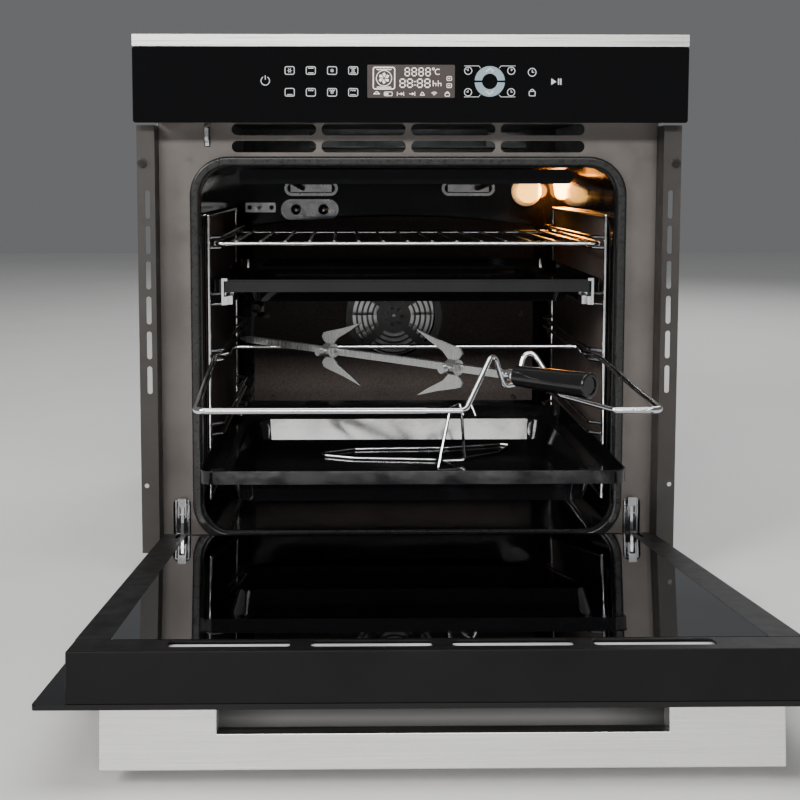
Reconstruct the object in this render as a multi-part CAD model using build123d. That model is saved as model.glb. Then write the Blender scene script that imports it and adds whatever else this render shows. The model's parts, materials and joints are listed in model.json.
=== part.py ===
from build123d import *
import math
import os

# Built-in oven for a 600 mm niche, shown with its door open and its racks partly out.
# Millimetres. X to the right, +Y into the oven, Z up. The origin is on the underside of the
# base, mid-width, in the plane where the side flanges meet the cabinet.

# Front
FRONT_W = 595
FRONT_TOP = 595
PANEL_BOTTOM = 501.5
PANEL_Y = -25
TRIM_H = 12.5
GLASS_T = 4

# Casing and recessed front sheet
CASING_HALF = 280
CASING_TOP = 588
CASING_BACK = 545
CASING_T = 1
SHEET_Y = 28
SHEET_T = 1.2
LIP_Y = -8

# Side flanges
FLANGE_IN = 278.6
FLANGE_OUT = 298
FLANGE_T = 1.5
FLANGE_BOTTOM = 24
SLOT_TOP = 429
SLOT_PITCH = 38.8
SLOT_L = 31
SLOT_W = 5.6
SLOT_X = 287
SCREW_X = 292
SCREW_Z = 458.5
LOWER_HOLE_Z = 100.5
FIXING_R = 2.6

# Cavity
CAVITY_HALF = 231
CAVITY_BOTTOM = 43
CAVITY_TOP = 454
CAVITY_R = 33
CAVITY_FRONT = 24
CAVITY_BACK = 452
CAVITY_T = 1.5
GASKET_FRONT = 17.5
GASKET_W = 10.5

# Vents, switch slot and hinge slots in the front sheet
VENT_PITCH = 100
VENT_L = 94
VENT_H = 13
VENT_ROWS = (477.5, 496.5)
SWITCH_X = -224
SWITCH_Z = 490
HINGE_X = 256

# Liner panel over the fan
COVER_Y = 420
COVER_HALF = 202
COVER_BOTTOM = 120
COVER_SIDE_TOP = 374
COVER_CREST = 388
GRILLE_Z = 243.5
GRILLE_R = 69.5

# Side racks: lower wire height of each level
LEVELS = (111.5, 148.4, 233.5, 299, 363.4)
PAIR_GAP = 12
RACK_X = 226
GUIDE_X = 212
RACK_FRONT = 44
RACK_BACK = 395
WIRE = 4.5
POST_WIRE = 5

# Door, built closed and then opened about the hinge axis
DOOR_INNER = 17
DOOR_BOTTOM = 8
DOOR_TOP = 497
BODY_HALF = 273.3
RAIL_W = 26
AXIS_Y = -13.5
AXIS_Z = 16.5
OPEN_ANGLE = 83.36
ARM_END = 5
PIN_R = 3.5
DOOR_SLOT_PITCH = 104.6
HANDLE_HALF = 250
HANDLE_BLOCK = 85
HANDLE_STAND = 46
HANDLE_BAR = 26
HANDLE_T = 16
HANDLE_TOP = 489

# Trays and shelf
SHELF_FRONT = 37
SHELF_BACK = 334
SHELF_HALF = 219
SHELF_Z = 368.8
ROD_PITCH = 27.7
ROD_COUNT = 15
TRAY_HALF = 222
TRAY_LIP = 13
BAKING_FRONT = 36
BAKING_FLANGE = 315
BAKING_DEPTH = 15
DRIP_FRONT = -100
DRIP_FLANGE = 127.6
DRIP_DEPTH = 27
TRAY_LENGTH = 368
RUNNER_LENGTH = 350

# Rotisserie cradle and spit, at the pulled-out place
CRADLE_WIRE = 6
CRADLE_Z = 239.5
CRADLE_FRONT_Y = -289
CRADLE_BACK_Y = 83
CRADLE_BACK_Z = 245
SPIT_TIP = (-192.4, 74.9, 256.5)
SPIT_END = (140.8, -302.3, 263.3)
FERRULE_AT = 403
FERRULE_L = 18
SPIT_SIDE = 7
HANDLE_R_FRONT = 9.6
HANDLE_R_BACK = 11.6
FORK_AT = (159, 341)
# Outline of a fork's blade: distance along the spit from the hub, and distance out from the spit's axis
BLADE = ((-3, 6), (-9, 10), (-12, 14), (-9.5, 18.5), (-2, 20.5), (22, 25.5), (50, 33), (34, 24), (14, 14.5), (5, 6))
BLADE_T = 2.2
SOCKET = (-199, 256)

# Saddle bends: across the spit, along the spit, height
SADDLE = ((-21, -2, 286), (-8.4, 0, 252.4), (8.4, 0, 252.4), (23, 0, 290), (36, 30, 243))

parts = {}


def block(x0, x1, y0, y1, z0, z1):
    """A box from its lowest and highest corners."""
    return Pos((x0 + x1) / 2, (y0 + y1) / 2, (z0 + z1) / 2) * Box(x1 - x0, y1 - y0, z1 - z0)


def front_slab(sketch, y0, y1):
    """Extrudes a sketch drawn in X and Z from y0 back to y1."""
    return Pos(0, y1, 0) * extrude(Plane.XZ * sketch, y1 - y0)


def rounded(x0, x1, z0, z1, r):
    """A rounded rectangle in X and Z."""
    return Pos((x0 + x1) / 2, (z0 + z1) / 2) * RectangleRounded(x1 - x0, z1 - z0, r)


def rod(start, end, radius):
    """A round bar between two points."""
    a = Vector(*start)
    b = Vector(*end)
    section = Plane(origin=a, z_dir=b - a) * Circle(radius)
    return extrude(section, (b - a).length)


def wire(points, diameter, bend):
    """A bent round wire through the given points."""
    path = FilletPolyline(*points, radius=bend)
    section = Plane(origin=path @ 0, z_dir=path % 0) * Circle(diameter / 2)
    return sweep(section, path=path)


def mirrored(shape):
    """The same shape on the other side of the oven."""
    return mirror(shape, about=Plane.YZ)


def fuse(shapes):
    """One solid from touching pieces."""
    total = shapes[0]
    for shape in shapes[1:]:
        total = total + shape
    return total


def save(name, shape):
    """Keeps a node and writes its STEP file."""
    parts[name] = shape
    export_step(shape, f"parts/{name}.step")


def opened(shape):
    """Turns a piece of the closed door to its open place."""
    axis = Axis((0, AXIS_Y, AXIS_Z), (1, 0, 0))
    return shape.rotate(axis, OPEN_ANGLE)


# ---------------------------------------------------------------- casing


def base_plate():
    plate = block(-CASING_HALF, CASING_HALF, LIP_Y, CASING_BACK, 0, 1.5)
    for x in (-200, -100, 0, 100, 200):
        plate = plate - Pos(x, 470, 0) * extrude(SlotOverall(60, 8), 10, both=True)
    return plate


def casing_wrap():
    outer = block(-CASING_HALF, CASING_HALF, SHEET_Y + SHEET_T + 0.1, CASING_BACK - 1.6, 1.6, CASING_TOP)
    inner = block(-CASING_HALF + CASING_T, CASING_HALF - CASING_T, 0, CASING_BACK + 5, -5, CASING_TOP - CASING_T)
    wrap = outer - inner
    for i in range(6):
        slot = Pos(0, 120 + 60 * i, CASING_TOP) * extrude(SlotOverall(200, 7), 10, both=True)
        wrap = wrap - slot
    return wrap


def rear_cover():
    half = CASING_HALF - 0.1
    cover = block(-half, half, CASING_BACK - 1.5, CASING_BACK, 1.6, CASING_TOP)
    rows = [60 + 14 * i for i in range(8)]
    for z in rows:
        for x in (-150, 0, 150):
            cover = cover - front_slab(Pos(x, z) * SlotOverall(90, 5), CASING_BACK - 5, CASING_BACK + 5)
    return cover - front_slab(Pos(-200, 548) * Circle(12), CASING_BACK - 5, CASING_BACK + 5)


def front_frame():
    half = CASING_HALF - 1.7
    sheet = rounded(-half, half, 1.6, CASING_TOP, 1)
    mouth = CAVITY_HALF + CAVITY_T + 0.3
    low = CAVITY_BOTTOM - CAVITY_T - 0.3
    high = CAVITY_TOP + CAVITY_T + 0.3
    sheet = sheet - rounded(-mouth, mouth, low, high, CAVITY_R + 2)
    for z in VENT_ROWS:
        for i in range(4):
            sheet = sheet - Pos((i - 1.5) * VENT_PITCH, z) * SlotOverall(VENT_L, VENT_H)
    sheet = sheet - Pos(SWITCH_X, SWITCH_Z) * RectangleRounded(7.5, 26, 1)
    for side in (-1, 1):
        sheet = sheet - Pos(side * (HINGE_X + 1), 43) * RectangleRounded(20, 70, 6)
    return front_slab(sheet, SHEET_Y, SHEET_Y + SHEET_T)


def side_flange(side):
    """Angle strip: a face on the cabinet, and a return back to the recessed sheet."""
    face = rounded(FLANGE_IN, FLANGE_OUT, FLANGE_BOTTOM, PANEL_BOTTOM - 1.5, 0.5)
    for i in range(6):
        z = SLOT_TOP - SLOT_L / 2 - i * SLOT_PITCH
        face = face - Pos(SLOT_X, z) * (Rot(0, 0, 90) * SlotOverall(SLOT_L, SLOT_W))
    for z in (SCREW_Z, LOWER_HOLE_Z):
        face = face - Pos(SCREW_X, z) * Circle(FIXING_R)
    strip = front_slab(face, -FLANGE_T, 0)
    rim = Pos(SCREW_X, 0, SCREW_Z) * (Rot(90, 0, 0) * Torus(5.2, 0.5))
    strip = strip + Pos(0, -FLANGE_T, 0) * rim
    back = block(FLANGE_IN, FLANGE_IN + 1.3, -FLANGE_T, SHEET_Y, FLANGE_BOTTOM, PANEL_BOTTOM - 1.5)
    strip = strip + back
    return strip if side > 0 else mirrored(strip)


def panel_screws():
    """Two pan-head screws in the flanges and four in the liner panel."""
    screws = []
    for x in (-SCREW_X, SCREW_X):
        head = front_slab(Pos(x, SCREW_Z) * Circle(3.8), -4, -FLANGE_T)
        shank = front_slab(Pos(x, SCREW_Z) * Circle(1.9), -FLANGE_T, 12)
        cross = front_slab(Pos(x, SCREW_Z) * Rectangle(4.4, 0.9), -5, -3)
        screws.append(head + shank - cross)
    for x, z in cover_screw_places():
        head = front_slab(Pos(x, z) * Circle(4), COVER_Y - 2, COVER_Y)
        shank = front_slab(Pos(x, z) * Circle(1.9), COVER_Y, COVER_Y + 8)
        cross = front_slab(Pos(x, z) * Rectangle(5, 0.9), COVER_Y - 3, COVER_Y - 1.2)
        screws.append(head + shank - cross)
    return Compound(screws)


def cover_screw_places():
    return [(-184, 244), (184, 247), (-175, 125), (175, 125)]


# ---------------------------------------------------------------- cavity


def cavity():
    t = CAVITY_T
    outline = rounded(-CAVITY_HALF, CAVITY_HALF, CAVITY_BOTTOM, CAVITY_TOP, CAVITY_R)
    skin = rounded(-CAVITY_HALF - t, CAVITY_HALF + t, CAVITY_BOTTOM - t, CAVITY_TOP + t, CAVITY_R + t)
    shell = front_slab(skin, CAVITY_FRONT, CAVITY_BACK + t) - front_slab(outline, 0, CAVITY_BACK)
    holes = [(0, GRILLE_Z, 7), (SOCKET[0], SOCKET[1], 5), (195, 424, 12), (-194, 400, 3)]
    for x, z, r in holes:
        shell = shell - front_slab(Pos(x, z) * Circle(r), CAVITY_BACK - 5, CAVITY_BACK + 5)
    return shell


def door_gasket():
    """Sealing bead around the mouth, with a rounded crown."""
    x = CAVITY_HALF + CAVITY_T + 0.5
    low = CAVITY_BOTTOM - CAVITY_T - 0.5
    high = CAVITY_TOP + CAVITY_T + 0.5
    w = GASKET_W
    outer = rounded(-x - w, x + w, low - w, high + w, CAVITY_R + w)
    bead = front_slab(outer - rounded(-x, x, low, high, CAVITY_R), GASKET_FRONT, SHEET_Y)
    crown = bead.edges().group_by(Axis.Y)[0]
    return fillet(crown, 3)


def insulation():
    gap = CAVITY_T + 0.5
    x = CAVITY_HALF + gap
    low = CAVITY_BOTTOM - gap
    high = CAVITY_TOP + gap
    outer = rounded(-x - 14, x + 14, 20, high + 9, 30)
    inner = rounded(-x, x, low - 10, high, 10)
    wrap = front_slab(outer, SHEET_Y + 6, 474) - front_slab(inner, 0, CAVITY_BACK + 2)
    for px, pz, r in ((0, GRILLE_Z, 8), (SOCKET[0], SOCKET[1], 8), (195, 424, 16), (-194, 400, 5)):
        wrap = wrap - front_slab(Pos(px, pz) * Circle(r), CAVITY_BACK - 5, 490)
    return wrap


def side_liner(side):
    """Porous enamel panel hung on the cavity wall, with its front corners rounded."""
    outline = Plane.YZ * (Pos(235, 237.5) * RectangleRounded(366, 319, 22))
    panel = Pos(CAVITY_HALF - 2.2, 0, 0) * extrude(outline, 1.4)
    return panel if side > 0 else mirrored(panel)


def cover_outline():
    """Panel with an arched top edge."""
    left = (-COVER_HALF, COVER_SIDE_TOP)
    right = (COVER_HALF, COVER_SIDE_TOP)
    arch = ThreePointArc(left, (0, COVER_CREST), right)
    sides = Polyline(right, (COVER_HALF, COVER_BOTTOM), (-COVER_HALF, COVER_BOTTOM), left)
    return make_face(arch + sides)


def fan_cover():
    face = cover_outline() - Pos(0, GRILLE_Z) * Circle(GRILLE_R - 4)
    for x, z in cover_screw_places():
        face = face - Pos(x, z) * Circle(2.2)
    notch = Pos(-COVER_HALF, SOCKET[1]) * RectangleRounded(28, 26, 6)
    panel = front_slab(face - notch, COVER_Y, COVER_Y + 1.5)
    for radius in (104, 118):
        ring = Circle(radius + 1.6) - Circle(radius - 1.6)
        window = Pos(0, radius * 0.9) * Rectangle(radius, radius * 0.7)
        upper = ring & window
        panel = panel + front_slab(Pos(0, GRILLE_Z) * upper, COVER_Y - 0.8, COVER_Y)
    for x in (-150, 150):
        panel = panel + block(x - 6, x + 6, COVER_Y + 1.5, CAVITY_BACK - 0.2, 150, 170)
    return panel


def fan_grille():
    """Pressed ring with four sectors of curved slots and a centre of round holes."""
    disc = Circle(GRILLE_R - 4.3)
    for k in range(5):
        r = 27 + 7.6 * k
        band = Circle(r + 2.3) - Circle(r - 2.3)
        rib = Rectangle(11, 200)
        band = band - Rot(0, 0, 45) * rib - Rot(0, 0, -45) * rib
        disc = disc - band
    for i in range(7):
        a = math.radians(360 / 7 * i)
        disc = disc - Pos(12 * math.cos(a), 12 * math.sin(a)) * Circle(2.6)
    disc = disc - Circle(2.6)
    rim = Circle(GRILLE_R) - Circle(GRILLE_R - 4.3)
    dished = front_slab(Pos(0, GRILLE_Z) * disc, COVER_Y - 1, COVER_Y + 0.4)
    border = front_slab(Pos(0, GRILLE_Z) * rim, COVER_Y - 2.5, COVER_Y - 0.1)
    return dished + border


def ring_element():
    """Two-turn heating ring around the fan, ending on the liner's left."""
    ring = Pos(0, 438, GRILLE_Z) * (Rot(90, 0, 0) * Torus(100, 3.2))
    legs = block(-106, -102, 437, CAVITY_BACK - 0.2, GRILLE_Z - 3, GRILLE_Z + 3)
    return ring + legs


def grill_element():
    """Meander heating rod under the cavity roof."""
    y0 = 70
    y1 = 330
    z = 446
    end = CAVITY_BACK - 3.6
    runs = [(-132, end, 428), (-132, end - 20, 428), (-160, y1 + 50, z), (-160, y0, z), (-100, y0, z)]
    runs += [(-100, y1 - 30, z), (-40, y1 - 30, z), (-40, y0, z), (40, y0, z), (40, y1 - 30, z)]
    runs += [(100, y1 - 30, z), (100, y0, z), (160, y0, z), (160, y1 + 50, z), (122, end - 20, 428)]
    runs += [(122, end, 428)]
    turns = [8, 16] + [22] * 10 + [16, 8]
    return wire(runs, 6.5, turns)


def grill_reflector():
    """Shallow pan over the grill rod; its front edge hangs as a long lip."""
    top = block(-192, 192, 62, 345, 451.4, 452.6)
    lip = front_slab(Pos(0, 444) * SlotOverall(384, 16.4), 62, 63.2)
    rear = block(-192, 192, 344, 345, 438, 452)
    pan = top + lip + rear
    slots = [block(x - 4.2, x + 4.2, 300, 400, 400, 450.6) for x in (-160, 160)]
    for slot in slots:
        pan = pan - slot
    return pan


def bottom_element():
    z = 35
    runs = [(-110, 430, z), (-110, 90, z), (110, 90, z), (110, 430, z)]
    return wire(runs, 6.5, 40)


def element_flanges():
    """Two grill flanges, and the oblong plate of the ring element with two glossy terminals."""
    y = CAVITY_BACK
    pieces = []
    for x in (-120, 110):
        pocket = front_slab(Pos(x, 428) * SlotOverall(78, 22) - Pos(x, 428) * SlotOverall(70, 14), y - 3, y - 0.2)
        plate = front_slab(Pos(x, 428) * RectangleRounded(60, 11, 1), y - 3.5, y - 0.2)
        pieces += [pocket, plate]
    ring = front_slab(Pos(-122, 397) * SlotOverall(84, 30) - Pos(-122, 397) * SlotOverall(76, 22), y - 5, y - 0.2)
    plate = front_slab(Pos(-122, 397) * SlotOverall(75.6, 21.6), y - 1.5, y - 0.2)
    for x in (-142, -102):
        stud = Pos(x, y - 8, 397) * Sphere(7.5)
        plate = plate + stud
    pieces += [ring, plate]
    return Compound(pieces)


def temperature_sensor():
    y = CAVITY_BACK
    plate = Pos(-194, 400) * RectangleRounded(44, 14, 2)
    for x in (-210, -178):
        plate = plate - Pos(x, 400) * Circle(3.4)
    body = front_slab(plate, y - 1.6, y - 0.2)
    probe = rod((-194, y - 90, 400), (-194, y + 16, 400), 2.4)
    screw = front_slab(Pos(-194, 400) * Circle(4), y - 4, y - 1)
    return body + probe + screw


def lamp_holder():
    y = CAVITY_BACK
    collar = front_slab(Pos(195, 424) * (Circle(22) - Circle(10.5)), y - 4, y - 0.2)
    tube = front_slab(Pos(195, 424) * (Circle(11.5) - Circle(9.6)), y - 4, y + 30)
    cap = front_slab(Pos(195, 424) * Circle(14), y + 30, y + 46)
    return collar + tube + cap


def lamp_bulb():
    y = CAVITY_BACK
    stem = front_slab(Pos(195, 424) * Circle(9), y - 10, y + 24)
    globe = Pos(195, y - 22, 424) * Sphere(17)
    return stem + globe


# ---------------------------------------------------------------- racks


def side_rack(side):
    """Chrome rack: two posts, a middle post, and a pair of guide wires for each level."""
    x = RACK_X
    low = 74
    high = 400
    pieces = []
    for y in (RACK_FRONT, RACK_BACK):
        pieces.append(rod((x, y, low), (x, y, high), POST_WIRE / 2))
    for z in (low, high):
        pieces.append(rod((x, RACK_FRONT, z), (x, RACK_BACK, z), POST_WIRE / 2))
        for y in (RACK_FRONT, RACK_BACK):
            pieces.append(Pos(x, y, z) * Sphere(POST_WIRE / 2))
    for level in LEVELS:
        for z in (level, level + PAIR_GAP):
            ends = [(x, RACK_FRONT, z), (GUIDE_X, RACK_FRONT + 12, z)]
            ends += [(GUIDE_X, RACK_BACK - 12, z), (x, RACK_BACK, z)]
            pieces.append(wire(ends, WIRE, 6))
    for y in (RACK_FRONT + 30, RACK_BACK - 30):
        pieces.append(rod((x, y, high), (CAVITY_HALF - 0.2, y, high), 2.2))
    rack = fuse(pieces)
    return rack if side > 0 else mirrored(rack)


def runner_z():
    """Middle height of the telescopic runners on level 4."""
    return LEVELS[3] + PAIR_GAP / 2


def runners_fixed():
    """Outer rails: channels clipped to the level 4 wires, open towards the tray."""
    z = runner_z()
    channel = block(204.4, 209.4, 62, 62 + RUNNER_LENGTH - 34, z - 7, z + 6)
    channel = channel - block(203, 208.2, 50, 420, z - 5.8, z + 4.8)
    hook_top = LEVELS[3] - WIRE / 2 - 0.1
    for y in (100, 300):
        leg = block(208.4, 209.4, y, y + 16, hook_top - 1, z - 6)
        foot = block(208.4, 213.5, y, y + 16, hook_top - 1, hook_top)
        channel = channel + leg + foot
    return Compound([channel, mirrored(channel)])


def runners_moving():
    """Inner rails with an upright end clip that catches the tray's rim."""
    z = runner_z()
    rail = block(198.5, 207.6, 44, 40 + RUNNER_LENGTH - 20, z - 5.2, z + 4.2)
    rail = rail - block(198, 204, 60, 500, z - 3, z + 2)
    foot = block(203.5, 210, 30, 44, z - 5.2, z + 4.2)
    foot = foot + block(198.5, 207.6, 38, 44, z - 5.2, z + 4.2)
    clip = block(207.5, 210, 28.5, 33, z - 5.2, 330)
    hook = block(203.5, 210, 28.5, 33, 327, 330)
    rest = block(199, 203, 60, RUNNER_LENGTH, z + 4, BAKING_FLANGE - 1.2)
    one = rail + foot + clip + hook + rest
    return Compound([one, mirrored(one)])


# ---------------------------------------------------------------- shelf and trays


def wire_shelf():
    x = SHELF_HALF
    y0 = SHELF_FRONT
    y1 = SHELF_BACK
    z = SHELF_Z
    left = wire([(0, y0, z), (-x, y0, z), (-x, y1, z), (0, y1, z)], 5.4, 12)
    pieces = [left, mirrored(left)]
    for i in range(ROD_COUNT):
        px = (i - (ROD_COUNT - 1) / 2) * ROD_PITCH
        pieces.append(rod((px, y0 - 1.5, z + 1.6), (px, y1 + 1.5, z + 1.6), 2))
    return fuse(pieces)


def tray(front, flange, depth):
    """Pressed tray: sloping pan, flat flange, and an upright lip all round."""
    t = 1.2
    back = front + TRAY_LENGTH
    middle = (front + back) / 2
    top_x = 2 * 194
    top_y = TRAY_LENGTH - 50
    slope = 8

    def frustum(grow, z_low, z_high):
        base = Pos(0, middle, z_low) * RectangleRounded(top_x - 2 * slope + grow, top_y - 2 * slope + grow, 18)
        mouth = Pos(0, middle, z_high) * RectangleRounded(top_x + grow, top_y + grow, 24)
        return loft([base, mouth])

    pan = frustum(0, flange - depth, flange) - frustum(-2 * t, flange - depth + t, flange + 0.01)
    hole = RectangleRounded(top_x - 2 * t, top_y - 2 * t, 23)
    rim = RectangleRounded(2 * TRAY_HALF, TRAY_LENGTH, 14)
    flat = Pos(0, middle, flange - t) * extrude(rim - hole, t)
    inner = RectangleRounded(2 * TRAY_HALF - 2 * t, TRAY_LENGTH - 2 * t, 13)
    lip = Pos(0, middle, flange - t) * extrude(rim - inner, TRAY_LIP + t)
    bead_path = RectangleRounded(2 * TRAY_HALF + 1, TRAY_LENGTH + 1, 14.5)
    bead = Pos(0, middle, flange + TRAY_LIP - 2) * extrude(bead_path - inner, 2)
    return pan + flat + lip + bead


def tray_grip():
    """Bent wire grip lying in the drip tray, its two hooks standing up."""
    z = DRIP_FLANGE - DRIP_DEPTH + 3.05
    loop = [(62, 62, z), (40, 110, z), (-60, 120, z), (-112, 142, z), (-60, 170, z), (60, 176, z), (128, 196, z)]
    body = wire(loop, 3.6, 9)
    hook_a = wire([(62, 62, z), (36, 46, z + 2), (52, 66, z + 72), (62, 58, z + 78), (66, 50, z + 66)], 3.6, 3)
    brace = wire([(128, 196, z), (140, 190, z), (120, 150, z), (48, 98, z + 1)], 3.6, 4)
    hook_b = wire([(48, 98, z + 1), (72, 94, z + 3), (68, 100, z + 64), (79, 92, z + 71), (84, 84, z + 58)], 3.6, 3)
    balls = [Pos(*p) * Sphere(1.8) for p in ((62, 62, z), (128, 196, z), (48, 98, z + 1))]
    return fuse([body, hook_a, brace, hook_b] + balls)


# ---------------------------------------------------------------- rotisserie


def spit_point(distance, up=0.0):
    """A point on the spit's axis, measured from its tip towards the handle."""
    tip = Vector(*SPIT_TIP)
    direction = (Vector(*SPIT_END) - tip).normalized()
    point = tip + direction * distance
    return Vector(point.X, point.Y, point.Z + up)


def spit_plane(distance):
    """A plane across the spit, its X axis level and its normal towards the handle."""
    direction = (Vector(*SPIT_END) - Vector(*SPIT_TIP)).normalized()
    level = Vector(-direction.Y, direction.X, 0).normalized()
    return Plane(origin=spit_point(distance), x_dir=level, z_dir=direction)


def spit_length():
    return (Vector(*SPIT_END) - Vector(*SPIT_TIP)).length


def saddle_point(u, v, height):
    """A point of the saddle: u across the spit, v along it from the collar's middle."""
    plane = spit_plane(FERRULE_AT + FERRULE_L / 2)
    flat = Vector(plane.z_dir.X, plane.z_dir.Y, 0).normalized()
    place = plane.origin + plane.x_dir * u + flat * v
    return (place.X, place.Y, height)


def rotisserie_cradle():
    """Wire frame with a two-hump saddle bent into its front bar."""
    z = CRADLE_Z
    f = CRADLE_FRONT_Y
    b = CRADLE_BACK_Y
    rear = [(217.5, 10, z), (217.5, b - 34, z), (205.5, b - 20, z), (205.5, b, CRADLE_BACK_Z), (0, b, CRADLE_BACK_Z)]
    left = [(0, f, z), (-202, f, z)] + [(-x, y, h) for x, y, h in rear]
    right = [(165, f, z), (206, f, z)] + rear
    humps = [saddle_point(u, v, h) for u, v, h in SADDLE]
    saddle = [(0, f, z), (34, f, z)] + humps + [(165, f, z), (190, f, z)]
    pieces = [wire(left, CRADLE_WIRE, 10), wire(right, CRADLE_WIRE, 10), wire(saddle, 5, 7)]
    return fuse(pieces)


def spit():
    """Square bar with a pointed tip."""
    start = 16
    bar = extrude(spit_plane(start) * Rectangle(SPIT_SIDE, SPIT_SIDE), FERRULE_AT + 30 - start)
    tip = loft([spit_plane(0) * Rectangle(2.4, 2.4), spit_plane(start) * Rectangle(SPIT_SIDE, SPIT_SIDE)])
    return bar + tip


def fork(at, facing):
    """Hub clamped on the bar by a round-headed screw, with two flat pointed blades that spread."""
    plane = spit_plane(at)
    hub = extrude(plane * (Circle(7.6) - Rectangle(SPIT_SIDE + 0.2, SPIT_SIDE + 0.2)), 6, both=True)
    screw = plane * (Rot(0, -90, 0) * Pos(0, 0, 10) * Cylinder(2.2, 9))
    head = plane * (Rot(0, -90, 0) * Pos(0, 0, 15.5) * Cylinder(4.4, 5))
    pieces = [hub, screw, head]
    for side in (-1, 1):
        outline = [plane.from_local_coords((0, side * a, facing * c)) for c, a in BLADE]
        face = make_face(Polyline(*outline, close=True))
        pieces.append(extrude(face, BLADE_T / 2, both=True))
    return fuse(pieces)


def spit_forks():
    return Compound([fork(FORK_AT[0], 1), fork(FORK_AT[1], -1)])


def spit_ferrule():
    """Turned collar that runs in the saddle, with a groove."""
    plane = spit_plane(FERRULE_AT)
    collar = extrude(plane * Circle(5.4), FERRULE_L)
    groove = extrude(spit_plane(FERRULE_AT + 8) * (Circle(7) - Circle(4.9)), 3)
    flange = extrude(spit_plane(FERRULE_AT + FERRULE_L - 3) * Circle(7.6), 3)
    core = extrude(plane * Rectangle(SPIT_SIDE + 0.1, SPIT_SIDE + 0.1), FERRULE_L)
    return collar - groove + flange - core


def spit_handle():
    """Tapered grip with a rounded end."""
    start = FERRULE_AT + FERRULE_L + 0.1
    end = spit_length()
    grip = loft([spit_plane(start) * Circle(HANDLE_R_FRONT), spit_plane(end) * Circle(HANDLE_R_BACK)])
    rim = grip.edges().filter_by(GeomType.CIRCLE).sort_by(Axis.Y)[0]
    grip = fillet(rim, 2)
    bore = extrude(spit_plane(start - 1) * Rectangle(SPIT_SIDE + 0.1, SPIT_SIDE + 0.1), 14)
    dimple = extrude(spit_plane(end - 1.2) * Circle(8), 5)
    return grip - bore - dimple


def drive_socket():
    x, z = SOCKET
    cup = front_slab(Pos(x, z) * Circle(7), COVER_Y - 10, COVER_Y + 6)
    cup = cup - front_slab(Pos(x, z) * Rectangle(8.4, 8.4), COVER_Y - 12, COVER_Y)
    return cup + rod((x, COVER_Y + 5, z), (x, CAVITY_BACK + 40, z), 3.5)


def rotisserie_motor():
    x, z = SOCKET
    body = front_slab(Pos(x, z) * RectangleRounded(56, 48, 6), 476, 512)
    ears = front_slab(Pos(x, z) * RectangleRounded(72, 14, 5), 476, 478)
    return body + ears - front_slab(Pos(x, z) * Circle(3.8), 470, 500)


# ---------------------------------------------------------------- fans and air path


def convection_fan():
    hub = front_slab(Pos(0, GRILLE_Z) * Circle(9), 428, 446)
    disc = front_slab(Pos(0, GRILLE_Z) * Circle(60), 444.5, 446)
    pieces = [hub, disc]
    blade = block(28, 58, 428, 445, GRILLE_Z - 0.6, GRILLE_Z + 0.6)
    axis = Axis((0, 0, GRILLE_Z), (0, 1, 0))
    for i in range(12):
        pieces.append(blade.rotate(axis, 30 * i))
    pieces.append(rod((0, 440, GRILLE_Z), (0, 505, GRILLE_Z), 3.5))
    return fuse(pieces)


def fan_motor():
    body = front_slab(Pos(0, GRILLE_Z) * Circle(34), 480, 530)
    plate = front_slab(Pos(0, GRILLE_Z) * RectangleRounded(110, 60, 8), 476, 480)
    bore = front_slab(Pos(0, GRILLE_Z) * Circle(3.8), 470, 510)
    return body + plate - bore


BLOWER_Y = 300
BLOWER_Z = 528


def blower_impeller():
    """Drum of long vanes that turns about X."""
    section = Plane.YZ * Pos(BLOWER_Y, BLOWER_Z)
    ends = [Pos(x, 0, 0) * extrude(section * Circle(27), 2) for x in (-110, 108)]
    vanes = []
    for i in range(18):
        vane = section * (Rot(0, 0, 20 * i) * Pos(24.4, 0) * Rectangle(5, 1))
        vanes.append(Pos(-109, 0, 0) * extrude(vane, 218))
    shaft = rod((-118, BLOWER_Y, BLOWER_Z), (125, BLOWER_Y, BLOWER_Z), 3)
    return fuse(ends + vanes + [shaft])


def blower_housing():
    """Scroll open to the duct at the front, with the motor on its right end."""
    section = Plane.YZ * Pos(BLOWER_Y, BLOWER_Z)
    arc = section * (Circle(36) - Circle(34.6) - Pos(-18, 22) * Rectangle(40, 60))
    shell = Pos(-116, 0, 0) * extrude(arc, 232)
    cheeks = [Pos(x, 0, 0) * extrude(section * (Circle(36) - Circle(4)), 1.4) for x in (-117.2, 115.8)]
    motor = Pos(118.5, 0, 0) * extrude(section * (Circle(26) - Circle(3.4)), 42)
    bracket = block(116, 168, BLOWER_Y - 20, BLOWER_Y + 20, 484, 503)
    bed = block(-117, 168, BLOWER_Y - 36, BLOWER_Y + 36, 482.5, 484.2)
    leg = block(-100, 100, BLOWER_Y - 5, BLOWER_Y + 5, 484, 493.2)
    return fuse([shell] + cheeks + [motor, bracket, bed, leg])


def air_duct():
    """Flat duct over the insulation that leads the cooling air to the front slots."""
    outer = block(-204, 204, SHEET_Y + SHEET_T + 0.2, 252, 467.5, 507)
    inner = block(-202.8, 202.8, 0, 300, 468.7, 505.8)
    return outer - inner


# ---------------------------------------------------------------- controls


def control_glass():
    half = FRONT_W / 2
    face = rounded(-half, half, PANEL_BOTTOM, FRONT_TOP - TRIM_H - 0.2, 3)
    return front_slab(face, PANEL_Y, PANEL_Y + GLASS_T)


def control_trim():
    half = FRONT_W / 2
    strip = front_slab(rounded(-half, half, FRONT_TOP - TRIM_H, FRONT_TOP, 1), PANEL_Y - 0.4, PANEL_Y + 1.2)
    top = block(-half, half, PANEL_Y, -1, FRONT_TOP - 1.2, FRONT_TOP)
    return strip + top


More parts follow.
